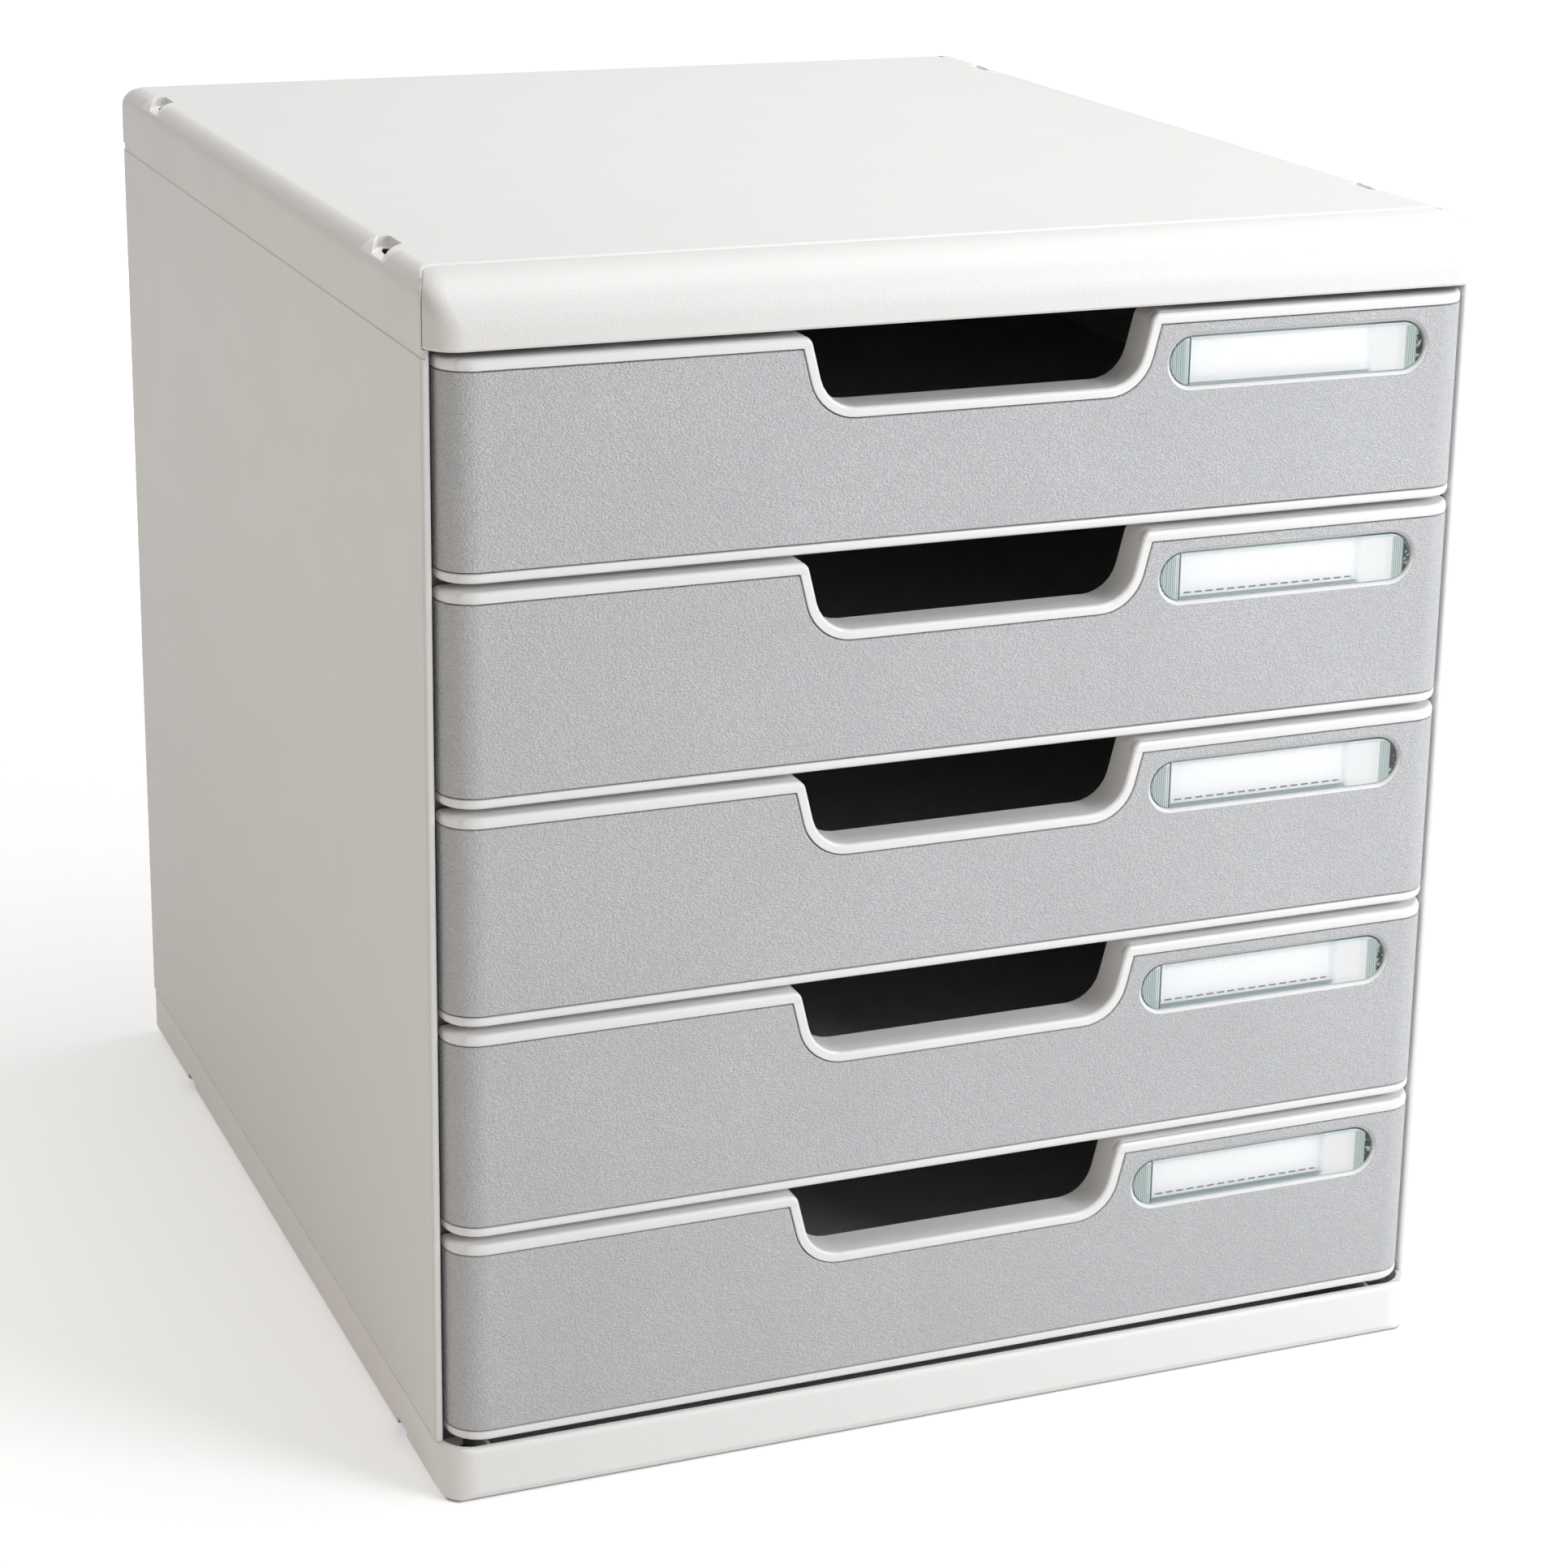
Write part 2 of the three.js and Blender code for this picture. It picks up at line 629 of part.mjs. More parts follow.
function labelWindow(n) {
  const levels = levelsOf(n);
  const plateNear = drawerFace + fasciaWall + fit;
  const plateFar = plateNear + windowPlate;
  const high = levels.fasciaHigh - windowBelow;
  const low = high - windowHeight;
  const halfPlate = windowWidth / 2 + windowFlange;
  const across = [windowMiddle - halfPlate, windowMiddle + halfPlate];
  const plate = block(across, [plateNear, plateFar], [low - windowFlange, high + windowFlange]);
  const lensNear = drawerFace + windowSunk;
  const lens = lengthwise(windowOutline(levels, -fit), lensNear, plateFar - windowPlate / 2, 4);
  const reeds = [];
  for (let i = 0; i < reedCount; i += 1) {
    const offset = cardWidth / 2 + fit + (i + 1 / 2) * reedPitch;
    for (const side of [-1, 1]) {
      const middle = windowMiddle + side * offset;
      const sides = [middle - reedPitch / 4, middle + reedPitch / 4];
      reeds.push(block(sides, [plateFar - windowPlate / 2, plateFar + reedDepth], [low, high]));
    }
  }
  return joined([plate, lens, ...reeds]);
}

function labelCard(n) {
  const levels = levelsOf(n);
  const near = drawerFace + fasciaWall + fit + windowPlate + fit;
  const middle = levels.fasciaHigh - windowBelow - windowHeight / 2;
  return block(
    [windowMiddle - cardWidth / 2, windowMiddle + cardWidth / 2],
    [near, near + cardThickness],
    [middle - cardHeight / 2, middle + cardHeight / 2],
  );
}

// A solid as a named mesh with its own material.
function named(name, piece, finish) {
  const made = piece.simplify(weld).getMesh();
  const geometry = new THREE.BufferGeometry();
  geometry.setAttribute('position', new THREE.BufferAttribute(made.vertProperties, 3));
  geometry.setIndex(new THREE.BufferAttribute(made.triVerts, 1));
  geometry.computeVertexNormals();
  const mesh = new THREE.Mesh(geometry, new THREE.MeshStandardMaterial(finishes[finish]));
  mesh.name = name;
  return mesh;
}

const module = new THREE.Group();
const sidePanel = sidePanelRight();
module.add(
  named('top_cover', topCover(), 'casing'),
  named('side_panel_left', mirrored(sidePanel), 'casing'),
  named('side_panel_right', sidePanel, 'casing'),
  named('back_panel', backPanel(), 'casing'),
  named('base', basePlinth(), 'casing'),
);
for (let n = 1; n <= drawerCount; n += 1) {
  const drawer = new THREE.Group();
  drawer.add(
    named(`drawer_${n}_tray`, drawerTray(n), 'rim'),
    named(`drawer_${n}_fascia`, drawerFascia(n), 'fascia'),
    named(`drawer_${n}_label_window`, labelWindow(n), 'window'),
    named(`drawer_${n}_label_card`, labelCard(n), 'card'),
  );
  module.add(drawer);
}

export default module;
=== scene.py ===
import math

import bpy
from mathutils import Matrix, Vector

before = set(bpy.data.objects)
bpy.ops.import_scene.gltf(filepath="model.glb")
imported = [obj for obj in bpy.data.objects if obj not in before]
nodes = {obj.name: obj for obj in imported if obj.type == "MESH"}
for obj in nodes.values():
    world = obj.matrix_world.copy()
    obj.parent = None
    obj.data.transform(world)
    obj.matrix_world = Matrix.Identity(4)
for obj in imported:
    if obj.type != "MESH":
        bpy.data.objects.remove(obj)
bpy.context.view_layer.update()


# Top cover: one moulding in warm light grey polystyrene with a satin face, clipped over
# the panels. Its rounded nose has a fine spark grain and ends at a shallow groove, and
# four clip sockets open along its upper side edges.

def node_tree(name):
    """A new node material: its tree, its Principled shader and object coordinates."""
    material = bpy.data.materials.new(name)
    material.use_nodes = True
    tree = material.node_tree
    shader = tree.nodes["Principled BSDF"]
    place = tree.nodes.new("ShaderNodeTexCoord").outputs["Object"]
    return material, tree, shader, place


def noise(tree, place, scale, detail, distortion=0.0):
    texture = tree.nodes.new("ShaderNodeTexNoise")
    texture.inputs["Scale"].default_value = scale
    texture.inputs["Detail"].default_value = detail
    texture.inputs["Distortion"].default_value = distortion
    tree.links.new(place, texture.inputs["Vector"])
    return texture.outputs["Fac"]


def spread(tree, value, span, low=0.0, high=1.0, smooth=True):
    """A value carried from a span to the range from low to high, and held at its ends."""
    node = tree.nodes.new("ShaderNodeMapRange")
    node.interpolation_type = "SMOOTHSTEP" if smooth else "LINEAR"
    for socket, number in zip(("From Min", "From Max", "To Min", "To Max"), (*span, low, high)):
        node.inputs[socket].default_value = number
    tree.links.new(value, node.inputs["Value"])
    return node.outputs["Result"]


def mottled(tree, field, low=0.0, high=1.0):
    """A noise drawn out over the range from low to high."""
    noise_middle = (0.3, 0.7)
    return spread(tree, field, noise_middle, low, high)


def arithmetic(tree, operation, first, second=0.0):
    node = tree.nodes.new("ShaderNodeMath")
    node.operation = operation
    for socket, value in zip(node.inputs, (first, second)):
        if isinstance(value, (int, float)):
            socket.default_value = value
        else:
            tree.links.new(value, socket)
    return node.outputs["Value"]


def product(tree, first, second):
    return arithmetic(tree, "MULTIPLY", first, second)


def less(tree, first, second):
    return arithmetic(tree, "SUBTRACT", first, second)


def largest(tree, first, *others):
    for other in others:
        first = arithmetic(tree, "MAXIMUM", first, other)
    return first


def blended(tree, amount, first, second):
    """A colour between two, each a socket or three numbers."""
    node = tree.nodes.new("ShaderNodeMix")
    node.data_type = "RGBA"
    tree.links.new(amount, node.inputs["Factor"])
    for socket, colour in zip((node.inputs[6], node.inputs[7]), (first, second)):
        if isinstance(colour, tuple):
            socket.default_value = (*colour, 1.0)
        else:
            tree.links.new(colour, socket)
    return node.outputs[2]


def bumped(tree, shader, height, distance, under=None):
    """A bump on the shader, on top of the one under it; its normal is handed back."""
    node = tree.nodes.new("ShaderNodeBump")
    node.inputs["Distance"].default_value = distance
    node.inputs["Strength"].default_value = 1.0
    tree.links.new(height, node.inputs["Height"])
    if under is not None:
        tree.links.new(under, node.inputs["Normal"])
    tree.links.new(node.outputs["Normal"], shader.inputs["Normal"])
    return node.outputs["Normal"]


def axis_of(tree, place, axis):
    node = tree.nodes.new("ShaderNodeSeparateXYZ")
    tree.links.new(place, node.inputs["Vector"])
    return node.outputs[axis]


def from_middle(tree, place):
    """The distance from the module's middle plane, the same on its left and right."""
    return arithmetic(tree, "ABSOLUTE", axis_of(tree, place, "X"))


def between(tree, value, low, high):
    """1 where the value lies between two limits, 0 elsewhere, with soft edges."""
    soft = 0.0001
    above = spread(tree, value, (low - soft, low + soft))
    return product(tree, above, spread(tree, value, (high - soft, high + soft), 1, 0))


def boxed(tree, place, across, along, upright):
    """1 inside a box, given by its limits from the middle plane and along Y and Z."""
    inside = between(tree, from_middle(tree, place), *across)
    for axis, limits in (("Y", along), ("Z", upright)):
        inside = product(tree, inside, between(tree, axis_of(tree, place, axis), *limits))
    return inside


def casing_plastic(name, level, shades):
    """The casing's plastic in one tone; shades are pairs of a box and the colour in it."""
    warmth = (1.0, 0.992, 0.976)
    cloud_share, plain_share, speck_share = 0.978, 0.998, 1.016
    cloud, plain, speck = [tuple(level * share * part for part in warmth)
                           for share in (cloud_share, plain_share, speck_share)]

    material, tree, shader, place = node_tree(name)
    clouds = mottled(tree, noise(tree, place, scale=14, detail=3))
    grain = noise(tree, place, scale=2600, detail=2)
    tone = blended(tree, mottled(tree, grain), blended(tree, clouds, cloud, plain), speck)
    for box, colour in shades:
        tone = blended(tree, boxed(tree, place, *box), tone, colour)
    tree.links.new(tone, shader.inputs["Base Color"])
    rough = mottled(tree, noise(tree, place, scale=60, detail=4), low=0.45, high=0.49)
    tree.links.new(rough, shader.inputs["Roughness"])
    swell = bumped(tree, shader, noise(tree, place, scale=240, detail=2), distance=0.00002)
    bumped(tree, shader, grain, distance=0.000012, under=swell)
    shader.inputs["Specular IOR Level"].default_value = 0.4
    return material


def cover_plastic():
    """The casing's plastic, grained on the nose, with painted shade near black inside and along the
    groove's top, and painted light in the sockets, on the groove's sides and along the plate's
    step.
    """
    inside = ((-0.1, 0.1424), (-0.150, 0.1672), (0.29, 0.3168))
    # painted shade: the cover's inside is coloured near black, which also darkens the socket holes
    inside_painted_shade = (0.03, 0.03, 0.03)
    socket_middles = (-0.1191, 0.1299)
    socket_half = 0.0104
    socket_across, socket_upright = (0.1361, 0.1438), (0.3168, 0.3199)
    # painted highlight: the socket notches are coloured white as if lit
    socket_painted_highlight = (0.94, 0.935, 0.925)
    corner = 0.1399  # where the groove turns down the side faces
    nose_slope, plate_slope = 2.73, 3.24
    nose_end, nose_grain_end = -0.1526, -0.1528
    plate_end, plate_start = -0.1502, -0.1500
    step_low, step_high = -0.1501, -0.1491
    top_start, top_full = 0.3130, 0.3140
    # painted light and shade in the groove: lighter on the side faces to offset their shade, darker
    # on the top as the shade in its dip
    groove_side_painted_light, groove_top_painted_shade = (0.95, 0.945, 0.93), (0.74, 0.735, 0.725)
    # painted highlight: a light line along the plate's step edge on the top
    step_painted_highlight = (0.92, 0.918, 0.91)

    shades = [(inside, inside_painted_shade)]
    for middle in socket_middles:
        along = (middle - socket_half, middle + socket_half)
        shades.append(((socket_across, along, socket_upright), socket_painted_highlight))
    material = casing_plastic("cover_plastic", level=0.80, shades=shades)
    tree = material.node_tree
    shader = tree.nodes["Principled BSDF"]
    place = tree.nodes["Texture Coordinate"].outputs["Object"]
    depth = axis_of(tree, place, "Y")
    side = largest(tree, less(tree, from_middle(tree, place), corner), 0)
    nose_line = arithmetic(tree, "ADD", depth, product(tree, side, nose_slope))
    plate_line = arithmetic(tree, "ADD", depth, product(tree, side, plate_slope))
    groove = product(tree, spread(tree, nose_line, (nose_grain_end, nose_end)),
                     spread(tree, plate_line, (plate_end, plate_start), 1, 0))
    top = spread(tree, axis_of(tree, place, "Z"), (top_start, top_full))
    # the groove is painted lighter on the sides and darker on the top
    groove_painted_light_and_shade = blended(tree, top, groove_side_painted_light, groove_top_painted_shade)
    # painted highlight along the plate's step
    step = product(tree, top, between(tree, plate_line, step_low, step_high))
    tone = blended(tree, groove, shader.inputs["Base Color"].links[0].from_socket, groove_painted_light_and_shade)
    tree.links.new(blended(tree, step, tone, step_painted_highlight), shader.inputs["Base Color"])
    nose = spread(tree, nose_line, (nose_grain_end, nose_end), 1, 0, False)
    cells = product(tree, noise(tree, place, scale=1500, detail=3, distortion=0.4), nose)
    casing_grain = shader.inputs["Normal"].links[0].from_socket
    bumped(tree, shader, cells, distance=0.00009, under=casing_grain)
    return material


def smooth_group():
    group = bpy.data.node_groups.new("shade_smooth", "GeometryNodeTree")
    group.interface.new_socket("Geometry", in_out="INPUT", socket_type="NodeSocketGeometry")
    group.interface.new_socket("Geometry", in_out="OUTPUT", socket_type="NodeSocketGeometry")
    into = group.nodes.new("NodeGroupInput")
    smooth = group.nodes.new("GeometryNodeSetShadeSmooth")
    out = group.nodes.new("NodeGroupOutput")
    group.links.new(into.outputs[0], smooth.inputs["Geometry"])
    group.links.new(smooth.outputs[0], out.inputs[0])
    return group


def finished(name, material, edge_width, joined=0.00003):
    """Rounds a node's sharp edges, smooths its curves and gives it its material."""
    piece = nodes[name]
    weld = piece.modifiers.new("joined", "WELD")
    weld.merge_threshold = joined
    plain = piece.modifiers.new("plain faces", "DECIMATE")
    plain.decimate_type = "DISSOLVE"
    plain.angle_limit = math.radians(0.4)
    edge = piece.modifiers.new("edges", "BEVEL")
    edge.limit_method = "ANGLE"
    edge.angle_limit = math.radians(28)
    edge.width = edge_width
    edge.segments = 2
    edge.use_clamp_overlap = False
    smooth = piece.modifiers.new("smooth", "NODES")
    smooth.node_group = shade_smooth
    piece.modifiers.new("even", "WEIGHTED_NORMAL")
    piece.data.materials.clear()
    piece.data.materials.append(material)


shade_smooth = smooth_group()
finished("top_cover", cover_plastic(), edge_width=0.00015)


# Base: a plinth tray of the same polystyrene, a little lighter, that the panels stand
# in. Its foot edge is painted dark as shade, and the mould's parting line runs down both corners.

foot = ((-0.2, 0.2), (-0.2, 0.2), (-0.01, 0.0009))
# painted shade: the lowest strip of the foot is coloured dark where shade falls
foot_painted_shade = (0.40, 0.39, 0.375)
parting = ((0.135, 0.2), (-0.16385, -0.16355), (0.003, 0.02))
parting_tone = (0.87, 0.865, 0.85)
base_shades = [(foot, foot_painted_shade), (parting, parting_tone)]
base_plastic = casing_plastic("base_plastic", level=0.87, shades=base_shades)
finished("base", base_plastic, edge_width=0.0004)


# Side and back panels: flat mouldings of the casing's polystyrene, whose tongues stand
# inside the cover and the base. Their inner faces, which carry the runners, are painted darker as
# shade.

panels_inside = ((-0.1, 0.1420), (-0.158, 0.166), (0.0135, 0.303))
# painted shade: the panels' inner faces are coloured dark as the shade inside the casing
panels_inside_painted_shade = (0.2, 0.197, 0.19)
panel_shades = [(panels_inside, panels_inside_painted_shade)]
panel_plastic = casing_plastic("panel_plastic", level=0.80, shades=panel_shades)
for panel in ("side_panel_left", "side_panel_right", "back_panel"):
    finished(panel, panel_plastic, edge_width=0.0002, joined=0.0001)


# Drawer trays: one off-white polystyrene moulding each, which holds the papers and
# ends in a hollow front, whose rims and finger cut-out show round the fascia.

front_low = 0.0171  # lower edge of the lowest drawer front
front_pitch = 0.05706


def level_in_drawer(tree, place):
    """The height above the lower edge of the drawer front that a point lies in."""
    return arithmetic(tree, "MODULO", less(tree, axis_of(tree, place, "Z"), front_low), front_pitch)


def crowned(tree, level, middle, half):
    """A rim's rounded height, 1 along its middle and 0 at both of its edges."""
    off = arithmetic(tree, "DIVIDE", less(tree, level, middle), half)
    return largest(tree, less(tree, 1.0, product(tree, off, off)), 0)


def rim_plastic():
    rim_dull, rim_bright = (0.835, 0.833, 0.826), (0.852, 0.85, 0.843)
    # painted shade: the tray behind its hollow front is coloured darker as the shade inside the
    # drawers
    tray_painted_shade = (0.66, 0.657, 0.65)
    box_start = (-0.1574, -0.1570)  # behind the hollow front
    upper_rim, upper_half = 0.05379, 0.0016
    lower_rim, lower_half = 0.00135, 0.00145
    cut_rim, cut_half = 0.0353, 0.0015
    cut_ends = (0.034, 0.040)
    face = (-0.1672, -0.1662)

    material, tree, shader, place = node_tree("rim_plastic")
    clouds = mottled(tree, noise(tree, place, scale=18, detail=3))
    tone = blended(tree, clouds, rim_dull, rim_bright)
    box = spread(tree, axis_of(tree, place, "Y"), box_start)
    tree.links.new(blended(tree, box, tone, tray_painted_shade), shader.inputs["Base Color"])
    rough = mottled(tree, noise(tree, place, scale=90, detail=4), low=0.32, high=0.34)
    tree.links.new(rough, shader.inputs["Roughness"])
    swell = bumped(tree, shader, noise(tree, place, scale=300, detail=3), distance=0.000015)
    level = level_in_drawer(tree, place)
    at_cut = spread(tree, from_middle(tree, place), cut_ends, 1, 0)
    crown = largest(tree, crowned(tree, level, upper_rim, upper_half),
                    crowned(tree, level, lower_rim, lower_half),
                    product(tree, crowned(tree, level, cut_rim, cut_half), at_cut))
    front = spread(tree, axis_of(tree, place, "Y"), face, 1, 0)
    bumped(tree, shader, product(tree, crown, front), distance=0.00028, under=swell)
    return material


rim = rim_plastic()
drawers = range(1, 6)
for n in drawers:
    finished(f"drawer_{n}_tray", rim, edge_width=0.0003)


# Fascias: mid grey cover plates with a fine leather grain, pressed into the hollow
# fronts and wrapped round both corners. The smooth edge under each window carries a painted
# highlight, and the grain's creases are painted darker as shade.

def window_place(tree, place):
    """A point's place beside its label window: along it, above its middle, and the
    distance from the line between the middles of its round ends."""
    window_across, window_level = 0.0892, 0.04191  # its middle
    half_line = 0.0308
    along = less(tree, axis_of(tree, place, "X"), window_across)
    rise = less(tree, level_in_drawer(tree, place), window_level)
    past = largest(tree, less(tree, arithmetic(tree, "ABSOLUTE", along), half_line), 0)
    squares = arithmetic(tree, "ADD", product(tree, past, past), product(tree, rise, rise))
    return along, rise, arithmetic(tree, "SQRT", squares)


def fascia_plastic():
    grain_stretch = (0.62, 0.62, 1.25)  # the pebbles lie flat
    fascia_dull, fascia_bright = (0.543, 0.550, 0.565), (0.578, 0.585, 0.601)
    crease_to_pebble = (0.35, 0.6)
    # painted shade: the grain's creases are coloured darker as the shade in them
    crease_painted_shade = (0.512, 0.519, 0.535)
    crease_rough, pebble_rough = 0.6, 0.42
    edge_inner, edge_outer = 0.0066, 0.0075
    edge_rise = (-0.003, 0.002)
    # painted highlight: a lighter band along the lower edge round each window, as if the edge
    # caught the light
    edge_painted_highlight = (0.80, 0.803, 0.81)
    edge_grain = 0.1

    material, tree, shader, place = node_tree("fascia_plastic")
    stretched = tree.nodes.new("ShaderNodeVectorMath")
    stretched.operation = "MULTIPLY"
    stretched.inputs[1].default_value = grain_stretch
    tree.links.new(place, stretched.inputs[0])
    grain = noise(tree, stretched.outputs[0], scale=2900, detail=0, distortion=0.2)
    pebbles = spread(tree, grain, crease_to_pebble)
    clouds = mottled(tree, noise(tree, place, scale=25, detail=4))
    tone = blended(tree, pebbles, crease_painted_shade, blended(tree, clouds, fascia_dull, fascia_bright))
    _, rise, radius = window_place(tree, place)
    edge = between(tree, radius, edge_inner, edge_outer)
    lower_edge_highlight = product(tree, edge, spread(tree, rise, edge_rise, 1, 0))
    tree.links.new(blended(tree, lower_edge_highlight, tone, edge_painted_highlight), shader.inputs["Base Color"])
    rough = spread(tree, pebbles, (0, 1), crease_rough, pebble_rough, False)
    tree.links.new(rough, shader.inputs["Roughness"])
    fine = bumped(tree, shader, noise(tree, place, scale=3500, detail=2), distance=0.00002)
    grained = product(tree, grain, spread(tree, edge, (0, 1), 1, edge_grain, False))
    bumped(tree, shader, grained, distance=0.00036, under=fine)
    shader.inputs["Specular IOR Level"].default_value = 0.45
    return material


fascia = fascia_plastic()
for n in drawers:
    finished(f"drawer_{n}_fascia", fascia, edge_width=0.0004)


# Label windows: clear moulded polystyrene with a slight green tint, which gathers
# along the outline. Both ends are ribbed, and the rear plates clip in behind the
# fascias.

def window_plastic():
    outline_radius = (0.0061, 0.0064)
    brow_rise = (0.0053, 0.0056)
    rib_start = (0.0317, 0.0319)
    rib_half_pitch = 0.0003
    rib_flank = (0.00005, 0.00025)
    # painted shade: the far end of each window is coloured near black as the shade in it, broken by
    # lighter streaks
    painted_shade_start = (0.0349, 0.0352)
    streak_band = (0.5, 0.62)
    card_end_painted_light = (0.0195, 0.0236)  # painted light: where the lens turns milky white over the shaded far end of the card
    # painted shade: a dark line at the left end of each window, as the shade in the gap beside the
    # card
    slit_start, slit_end = -0.0319, -0.0314
    # painted light and shade: the ribs' flanks are coloured lighter and darker as they catch the
    # light
    rib_painted_shade, rib_painted_light = (0.27, 0.36, 0.35), (0.58, 0.66, 0.64)
    end_painted_shade, end_light = (0.02, 0.025, 0.028), (0.35, 0.42, 0.41)
    clear_tint, painted_light_tint = (0.87, 0.885, 0.90), (0.79, 0.80, 0.81)
    brow_tint, slit_painted_shade = (0.62, 0.71, 0.69), (0.08, 0.10, 0.10)
    outline_tint = (0.24, 0.34, 0.32)
    clear_cover, painted_light_cover, rib_cover = 0.06, 0.85, 0.8
    outline_cover, brow_cover = 0.75, 0.5

    material, tree, shader, place = node_tree("window_plastic")
    along, rise, radius = window_place(tree, place)
    outline = spread(tree, radius, outline_radius)
    brow = spread(tree, rise, brow_rise)
    ends = spread(tree, arithmetic(tree, "ABSOLUTE", along), rib_start)
    # painted light: the lens is made white over the card's shaded far end
    white = spread(tree, along, card_end_painted_light)
    slit = between(tree, along, slit_start, slit_end)
    flank = spread(tree, arithmetic(tree, "PINGPONG", along, rib_half_pitch), rib_flank)
    ribs = blended(tree, flank, rib_painted_shade, rib_painted_light)
    streaks = spread(tree, noise(tree, place, scale=600, detail=2), streak_band)
    dark = blended(tree, streaks, end_painted_shade, end_light)
    # painted shade at the window's far end
    ribs = blended(tree, spread(tree, along, painted_shade_start), ribs, dark)
    tint = blended(tree, ends, blended(tree, white, clear_tint, painted_light_tint), ribs)
    for mask, colour in ((brow, brow_tint), (slit, slit_painted_shade), (outline, outline_tint)):
        tint = blended(tree, mask, tint, colour)
    tree.links.new(tint, shader.inputs["Base Color"])
    opaque = largest(
        tree,
        spread(tree, ends, (0, 1), clear_cover, rib_cover),
        spread(tree, outline, (0, 1), 0, outline_cover),
        spread(tree, white, (0, 1), clear_cover, painted_light_cover),
        slit,
        spread(tree, brow, (0, 1), 0, brow_cover),
    )
    tree.links.new(opaque, shader.inputs["Alpha"])
    shader.inputs["Roughness"].default_value = 0.08
    shader.inputs["IOR"].default_value = 1.5
    bumped(tree, shader, noise(tree, place, scale=120, detail=2), distance=0.00002)
    return material


window = window_plastic()
for n in drawers:
    finished(f"drawer_{n}_label_window", window, edge_width=0.00015)
    nodes[f"drawer_{n}_label_window"].visible_shadow = False


# Label cards: white paper slips, slid in behind the windows, with a line of
# perforations near the lower edge on all but the top drawer's.

def card_paper():
    card_dull, card_bright = (0.92, 0.93, 0.945), (0.955, 0.962, 0.97)
    dash_low, dash_high = 0.0363, 0.0367
    dash_pitch = 0.0032
    dash_end = (0.0021, 0.0022)
    dash_tone = (0.10, 0.13, 0.14)
    top_drawer = (0.26, 0.262)

    material, tree, shader, place = node_tree("card_paper")
    fibres = noise(tree, place, scale=900, detail=5)
    tone = blended(tree, mottled(tree, fibres), card_dull, card_bright)
    line = between(tree, level_in_drawer(tree, place), dash_low, dash_high)
    along = arithmetic(tree, "MODULO", axis_of(tree, place, "X"), dash_pitch)
    dashes = product(tree, line, spread(tree, along, dash_end, 1, 0))
    below_top = spread(tree, axis_of(tree, place, "Z"), top_drawer, 1, 0)
    dashes = product(tree, dashes, below_top)
    tree.links.new(blended(tree, dashes, tone, dash_tone), shader.inputs["Base Color"])
    shader.inputs["Roughness"].default_value = 0.75
    bumped(tree, shader, fibres, distance=0.00002)
    return material


card = card_paper()
for n in drawers:
    finished(f"drawer_{n}_label_card", card, edge_width=0.0001)


# Studio: a plain pale floor, white surroundings, a soft key lamp from the front right,
# one each from above, the left and the rear, and the camera of the photograph.

def shown(tree):
    """1 for what the camera sees, also through clear plastic or in a reflection."""
    path = tree.nodes.new("ShaderNodeLightPath").outputs
    return largest(tree, path["Is Camera Ray"], path["Is Transmission Ray"], path["Is Glossy Ray"])


def floor_finish():
    near_and_far = (0.3, 1.3)
    near_glow, far_glow = 0.42, 0.85
    pale_grey = (0.86, 0.86, 0.86, 1)

    material, tree, shader, place = node_tree("studio_floor")
    shader.inputs["Base Color"].default_value = pale_grey
    shader.inputs["Roughness"].default_value = 0.9
    shader.inputs["Specular IOR Level"].default_value = 0.1
    away = tree.nodes.new("ShaderNodeVectorMath")
    away.operation = "LENGTH"
    tree.links.new(place, away.inputs[0])
    lift = spread(tree, away.outputs["Value"], near_and_far, near_glow, far_glow)
    glow = tree.nodes.new("ShaderNodeEmission")
    tree.links.new(product(tree, shown(tree), lift), glow.inputs["Strength"])
    both = tree.nodes.new("ShaderNodeAddShader")
    tree.links.new(shader.outputs[0], both.inputs[0])
    tree.links.new(glow.outputs[0], both.inputs[1])
    tree.links.new(both.outputs[0], tree.nodes["Material Output"].inputs["Surface"])
    return material


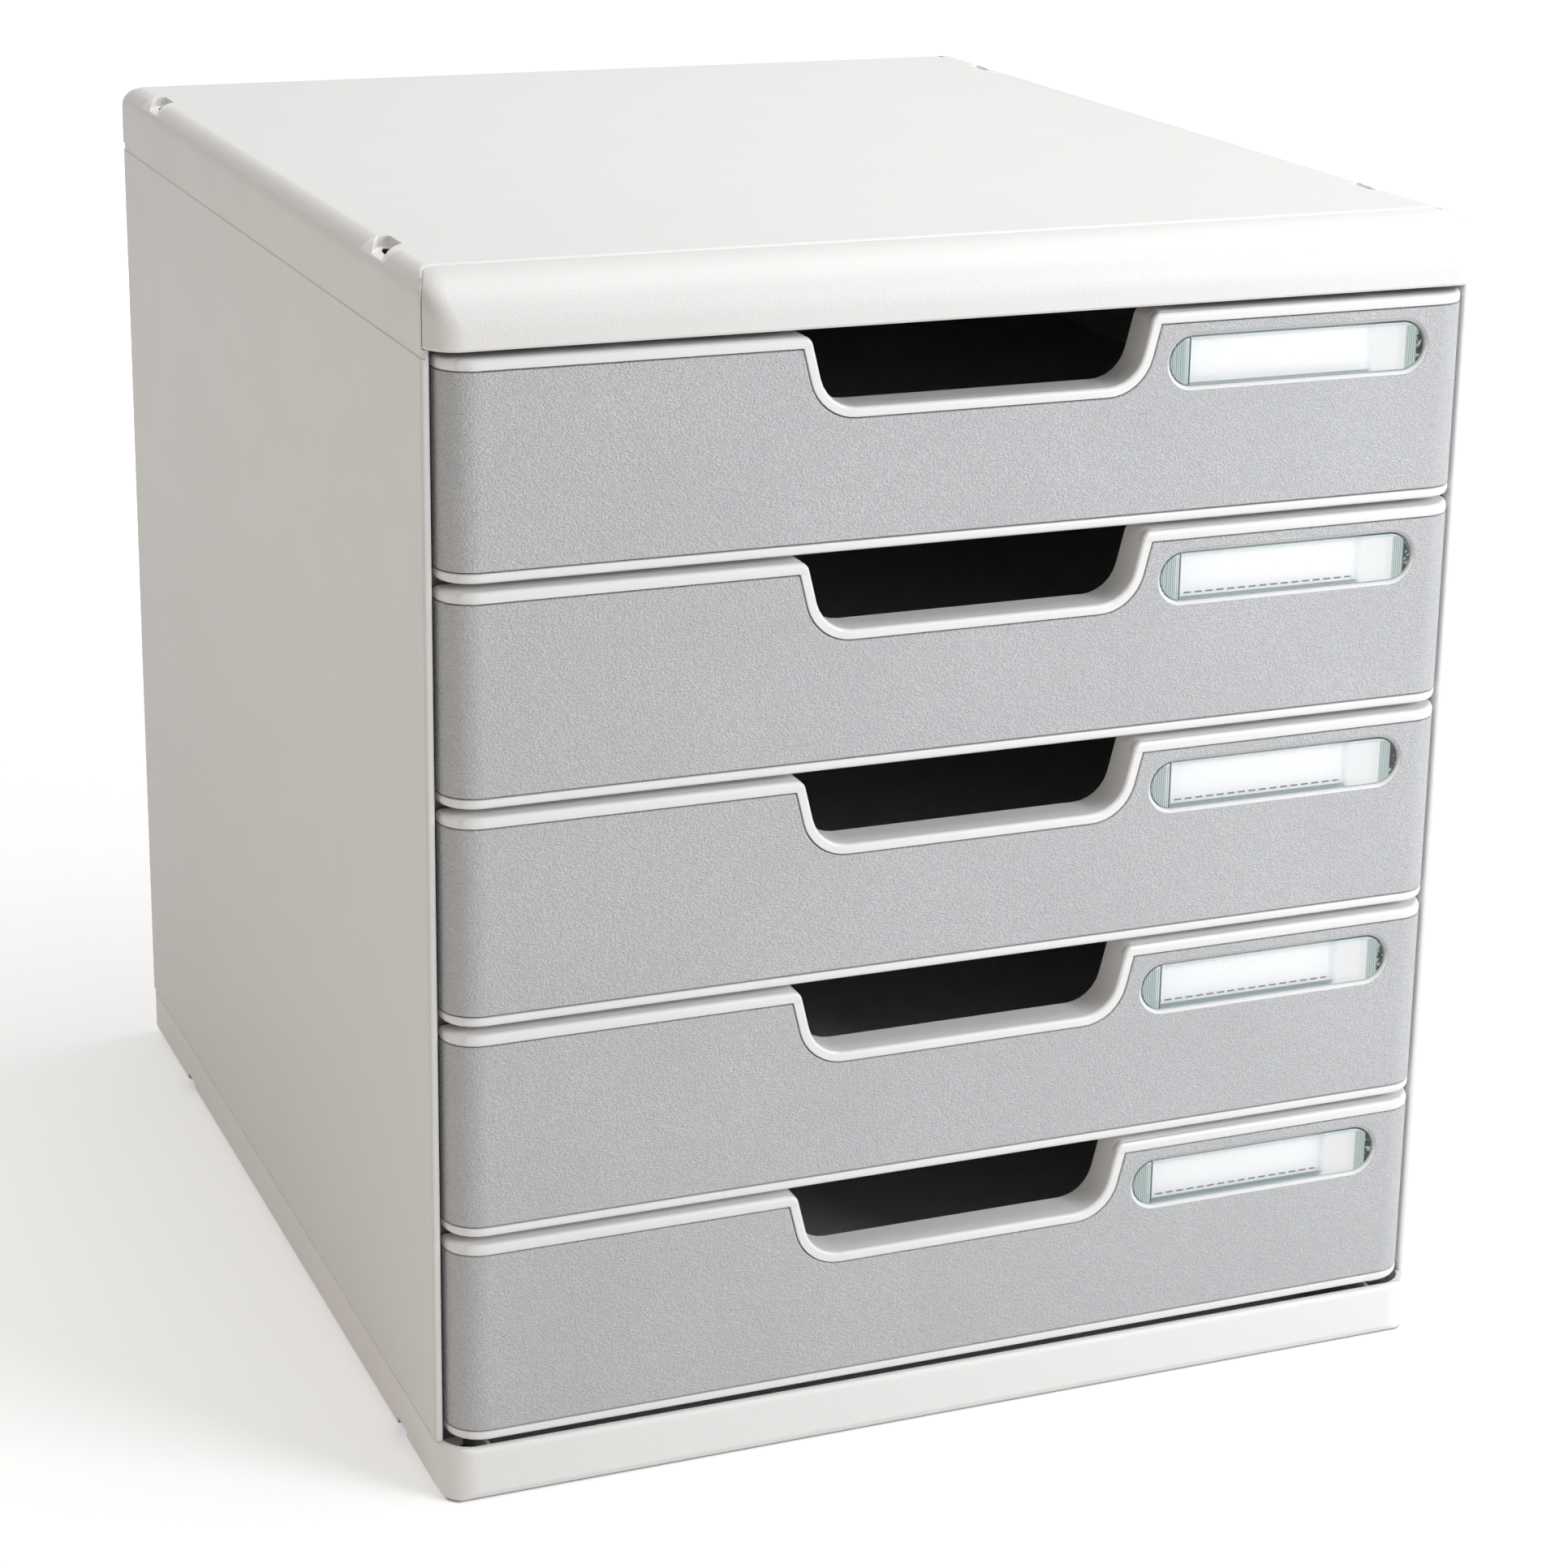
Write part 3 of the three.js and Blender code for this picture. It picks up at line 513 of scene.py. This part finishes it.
reach = 12.0
corners = [(-reach, -reach, 0), (reach, -reach, 0), (reach, reach, 0), (-reach, reach, 0)]
floor_mesh = bpy.data.meshes.new("floor")
floor_mesh.from_pydata(corners, [], [(0, 1, 2, 3)])
floor_mesh.materials.append(floor_finish())
floor = bpy.data.objects.new("floor", floor_mesh)
bpy.context.scene.collection.objects.link(floor)

surround_light = 0.3
surround_tint, white = (1.0, 0.97, 0.94), (1.0, 1.0, 1.0)
world = bpy.data.worlds.new("studio")
bpy.context.scene.world = world
world.use_nodes = True
sky = world.node_tree
background = sky.nodes["Background"].inputs
seen = shown(sky)
sky.links.new(spread(sky, seen, (0, 1), surround_light, 1.0, False), background["Strength"])
sky.links.new(blended(sky, seen, surround_tint, white), background["Color"])

lamps = (  # name, place, target, width and height, watts, colour
    ("key", (0.648, -0.895, 0.613), (0.02, -0.12, 0.18), (0.5, 0.45), 7.9, (0.966, 0.982, 1.0)),
    ("top", (0.309, -0.014, 1.3), (0, 0, 0.3), (0.9, 0.9), 7.3, white),
    ("side", (-1.1, -0.3, 0.12), (-0.144, -0.05, 0.05), (0.8, 0.2), 1.32, (1.0, 0.82, 0.62)),
    ("rear", (0.35, 1.5, 0.25), (0.0, 0.17, 0.15), (0.9, 0.3), 3.0, white),
)
for name, place, target, size, watts, colour in lamps:
    lamp = bpy.data.lights.new(name, "AREA")
    lamp.color = colour
    lamp.shape = "RECTANGLE"
    lamp.size, lamp.size_y = size
    lamp.energy = watts
    holder = bpy.data.objects.new(name, lamp)
    bpy.context.scene.collection.objects.link(holder)
    holder.location = place
    holder.rotation_euler = (Vector(target) - Vector(place)).to_track_quat("-Z", "Y").to_euler()

camera = bpy.data.cameras.new("camera")
camera.sensor_width = 36
camera.lens = 83.93
camera.shift_y = -0.1
camera.clip_start = 0.01
camera.clip_end = 100
viewer = bpy.data.objects.new("camera", camera)
bpy.context.scene.collection.objects.link(viewer)
viewer.location = (-0.3812, -0.9758, 0.4827)
viewer.rotation_euler = [math.radians(angle) for angle in (73.668, -0.835, -21.875)]
bpy.context.scene.camera = viewer
bpy.context.scene.view_settings.view_transform = "Standard"
